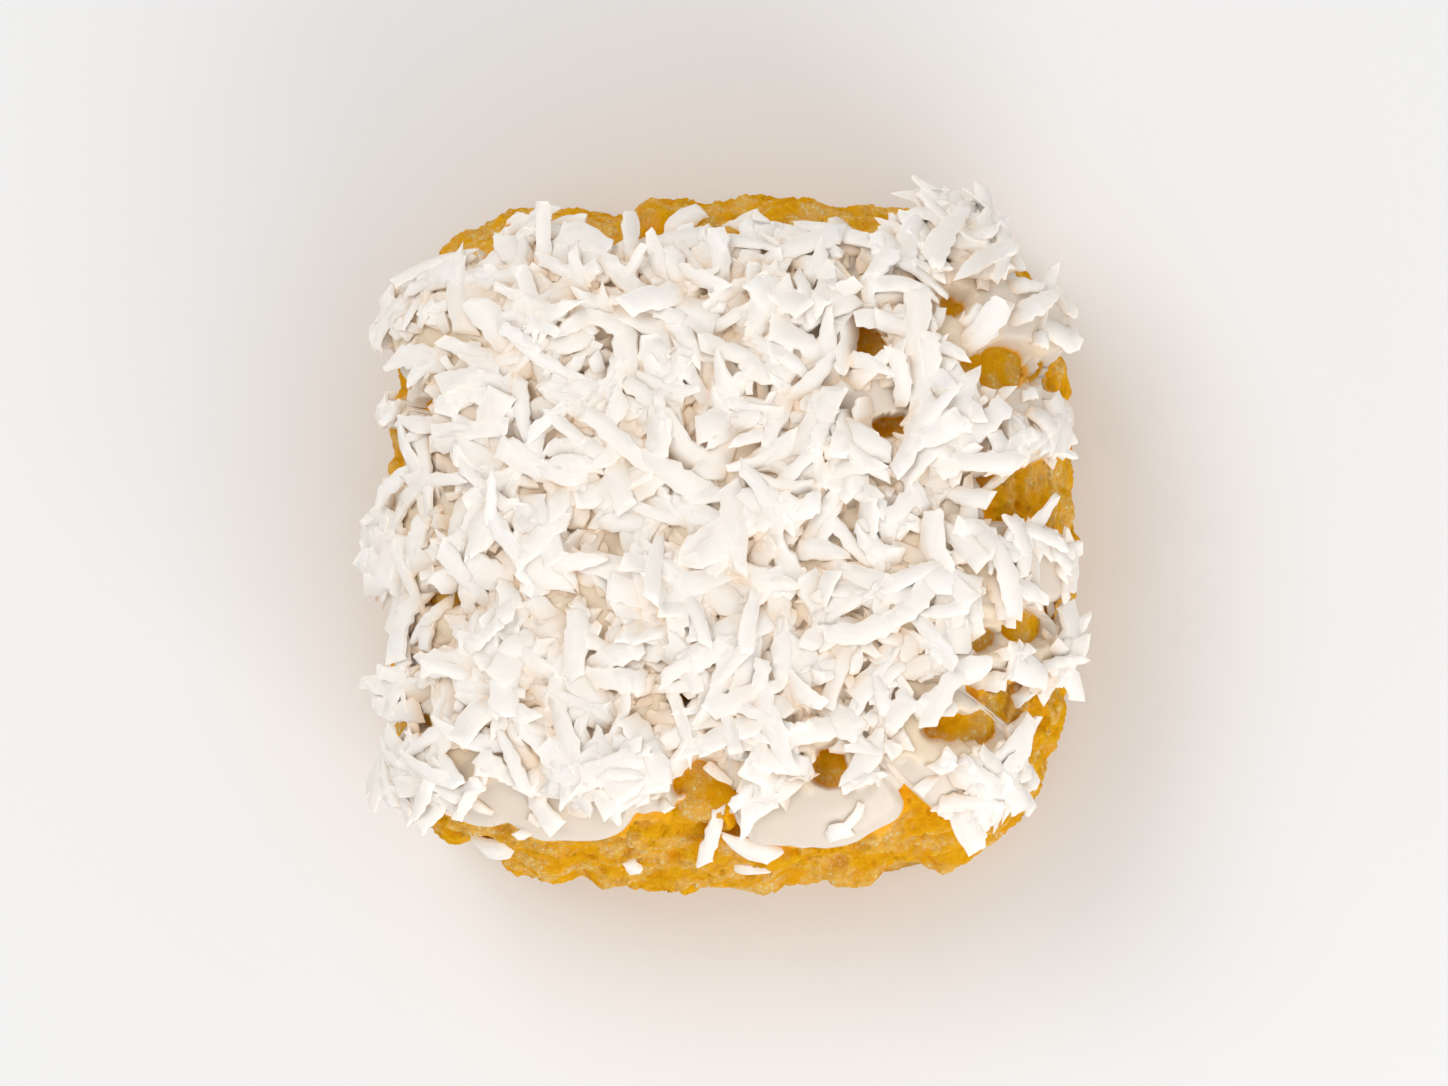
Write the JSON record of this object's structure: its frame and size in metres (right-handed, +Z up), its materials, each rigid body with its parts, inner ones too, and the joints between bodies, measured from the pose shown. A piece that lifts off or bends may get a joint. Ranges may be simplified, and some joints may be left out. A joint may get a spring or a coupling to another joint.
{
  "type": "sponge cake",
  "caption": "Square sponge cake with rounded edges, lobed white icing and a heap of shredded coconut, standing on its flat base.",
  "frame": {"origin": "middle of the flat base", "axes": "+Z up through the cake, +X to the right and +Y away as the picture shows it, with the bare front edge and its two lobes of icing at -Y"},
  "size_m": [0.0802, 0.0798, 0.0472],
  "materials": {
    "sponge": "moist golden open crumb, glossy in places",
    "icing": "smooth creamy white icing with shredded coconut, milky and slightly glossy"
  },
  "bodies": {
    "root": {"sponge": "sponge", "icing": "icing"}
  },
  "joints": []
}
